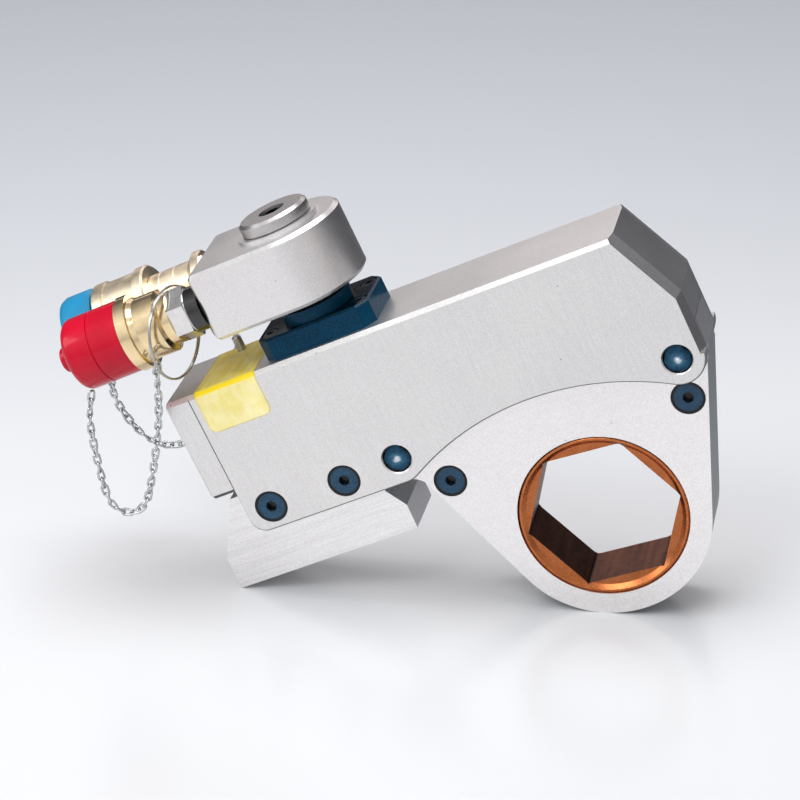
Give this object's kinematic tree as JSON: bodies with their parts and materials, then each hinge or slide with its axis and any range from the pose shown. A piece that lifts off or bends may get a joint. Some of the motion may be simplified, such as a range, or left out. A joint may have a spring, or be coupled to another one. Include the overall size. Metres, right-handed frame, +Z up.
{
  "type": "hydraulic_torque_wrench",
  "caption": "Low-profile hydraulic torque wrench with a hexagon ratchet link, reaction foot, swivel manifold and two capped quick couplers on chains",
  "frame": {"origin": "Centre of the drive hexagon, at the middle of the tool's thickness", "axes": "+X to the right along the tool's length as it stands on its foot and nose, +Y into the depth along the hexagon's axis, +Z up"},
  "size_m": [0.2684, 0.072, 0.1648],
  "materials": {
    "body_alloy": "bead-blasted satin",
    "link_steel": "bead-blasted satin",
    "blue_steel": "blue-black, polished",
    "black_steel": "black oxide",
    "copper_finish": "copper-coloured, worn",
    "inner_steel": "ground",
    "chrome_plate": "polished",
    "brass": "turned",
    "chain_steel": "bright",
    "seal_rubber": "matte",
    "red_plastic": "gloss",
    "blue_plastic": "gloss",
    "yellow_tape": "creased film"
  },
  "bodies": {
    "housing": {"drive_housing": "body_alloy", "end_cap": "body_alloy", "end_cap_screws": "black_steel", "end_cap_seal": "seal_rubber", "rod_gland": "inner_steel", "gland_seals": "seal_rubber", "reaction_foot": "link_steel", "foot_screws": "blue_steel", "link_plate_front": "link_steel", "link_plate_back": "link_steel", "link_core": "link_steel", "link_screws": "blue_steel", "link_pins": "blue_steel", "holding_pawl_pin": "inner_steel", "holding_spring": "inner_steel", "swivel_flange": "black_steel", "flange_screws": "black_steel", "swivel_post": "inner_steel", "post_seals": "seal_rubber", "retaining_disc": "body_alloy", "disc_screw": "black_steel", "small_pin": "inner_steel", "yellow_tape": "yellow_tape", "cap_chain_red": "chain_steel", "cap_chain_blue": "chain_steel"},
    "piston_set": {"piston": "inner_steel", "piston_seals": "seal_rubber", "piston_rod": "chrome_plate", "rod_hook": "inner_steel"},
    "lever": {"drive_plate_front": "inner_steel", "drive_plate_back": "inner_steel", "lever_block": "inner_steel", "lever_rivets": "inner_steel", "drive_pin": "inner_steel", "pawl_springs": "inner_steel"},
    "pawl": {"drive_pawl": "inner_steel"},
    "wheel": {"ratchet": "copper_finish"},
    "stop_pawl": {"holding_pawl": "inner_steel"},
    "manifold": {"manifold_block": "body_alloy", "thrust_washer": "inner_steel", "advance_adapter": "chrome_plate", "retract_adapter": "chrome_plate", "male_coupler": "brass", "male_poppet": "inner_steel", "female_coupler": "brass", "female_poppet": "inner_steel", "sleeve_spring": "inner_steel", "wire_ring_red": "chain_steel", "wire_ring_blue": "chain_steel"},
    "sleeve": {"coupler_sleeve": "brass"},
    "red_cap_body": {"red_cap": "red_plastic"},
    "blue_cap_body": {"blue_cap": "blue_plastic"}
  },
  "joints": [
    {"name": "piston_slide", "type": "slide", "parent": "housing", "child": "piston_set", "axis": [0.9148, 0, 0.4039], "range_m": [0, 0.02945]},
    {"name": "lever_swing", "type": "hinge", "parent": "housing", "child": "lever", "pos_m": [0, 0, 0], "axis": [0, 1, 0], "range_deg": [0, 20]},
    {"name": "wheel_turn", "type": "hinge", "parent": "housing", "child": "wheel", "pos_m": [0, 0, 0], "axis": [0, 1, 0], "continuous": true},
    {"name": "pawl_lift", "type": "slide", "parent": "lever", "child": "pawl", "axis": [-0.5566, 0, 0.8308], "range_m": [0, 0.003], "stiffness_N_per_m": 600, "springref_m": -0.004},
    {"name": "stop_pawl_rock", "type": "hinge", "parent": "housing", "child": "stop_pawl", "pos_m": [0.02019, 0, 0.05701], "axis": [0, 1, 0], "range_deg": [0, 6]},
    {"name": "swivel_turn", "type": "hinge", "parent": "housing", "child": "manifold", "pos_m": [-0.11818, 0, 0.08446], "axis": [-0.4039, 0, 0.9148], "continuous": true},
    {"name": "sleeve_slide", "type": "slide", "parent": "manifold", "child": "sleeve", "axis": [0.9142, 0.0349, 0.4037], "range_m": [0, 0.005], "stiffness_N_per_m": 1500, "springref_m": -0.002},
    {"name": "red_cap_pull", "type": "slide", "parent": "manifold", "child": "red_cap_body", "axis": [-0.9142, -0.0349, -0.4037], "range_m": [0, 0.025]},
    {"name": "blue_cap_pull", "type": "slide", "parent": "manifold", "child": "blue_cap_body", "axis": [-0.9142, -0.0349, -0.4037], "range_m": [0, 0.025]}
  ],
  "couplings": [
    {"joint": "lever_swing", "follows": "piston_slide", "rad_per_m": 11.852},
    {"joint": "wheel_turn", "follows": "piston_slide", "rad_per_m": 11.852}
  ]
}
